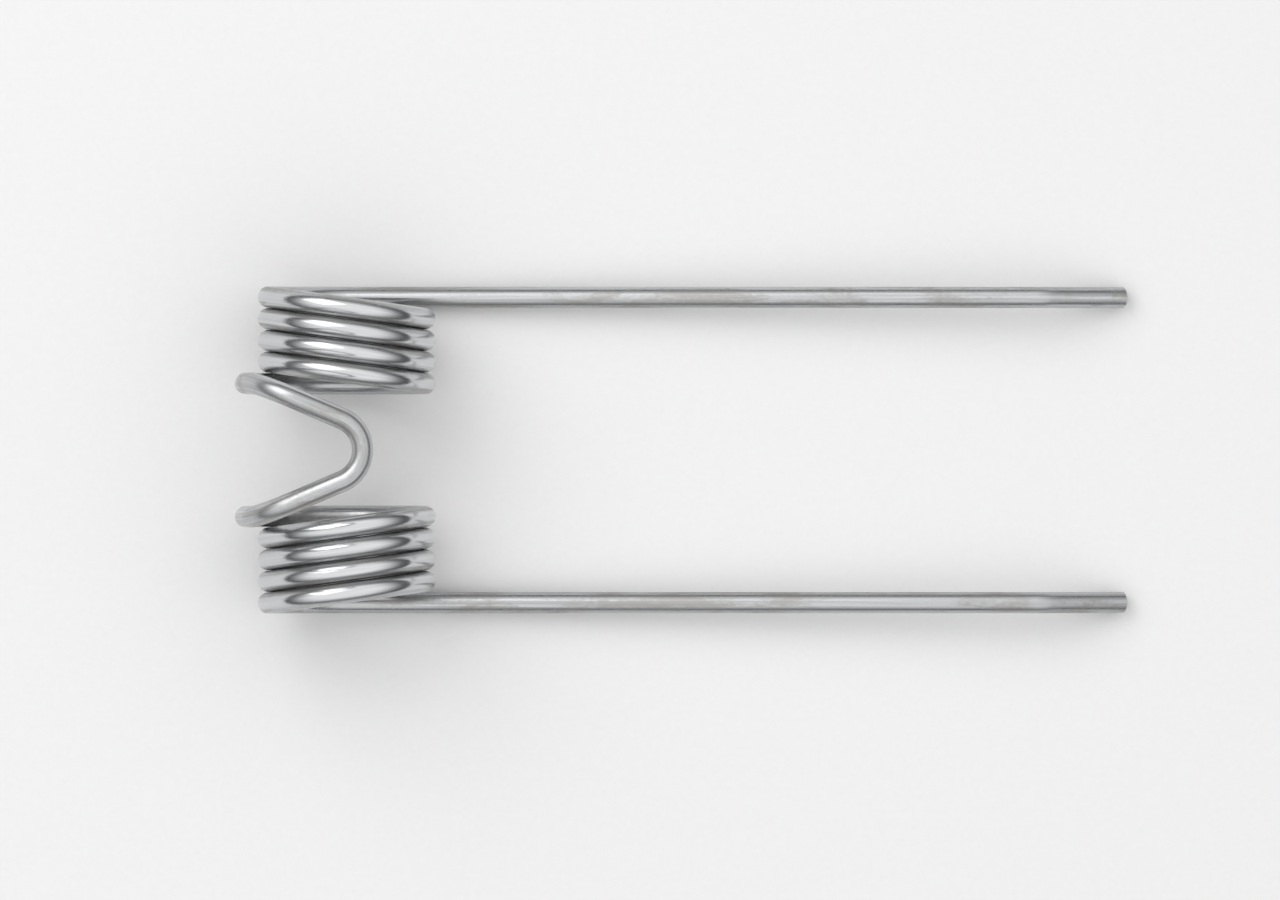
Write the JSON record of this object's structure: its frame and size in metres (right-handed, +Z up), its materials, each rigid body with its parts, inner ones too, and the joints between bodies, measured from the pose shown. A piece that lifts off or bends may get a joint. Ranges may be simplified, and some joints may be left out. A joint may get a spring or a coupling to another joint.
{
  "type": "baler pick-up tine",
  "caption": "Double pick-up tine of round spring wire: two opposed torsion coils, straight legs with bent tips, and a bolt loop joining them.",
  "frame": {"origin": "seat of the fixing bolt: centre of the loop's bend, on the mid-plane and in the plane of the loop", "axes": "+X along the legs towards the tips, +Y along the coil axis, +Z up from the legs to the loop"},
  "size_m": [0.2101, 0.077, 0.0828],
  "materials": {
    "spring_steel": "bare drawn spring wire, satin light grey, clean and new"
  },
  "bodies": {
    "root": {"pickup_tine": "spring_steel"}
  },
  "joints": []
}
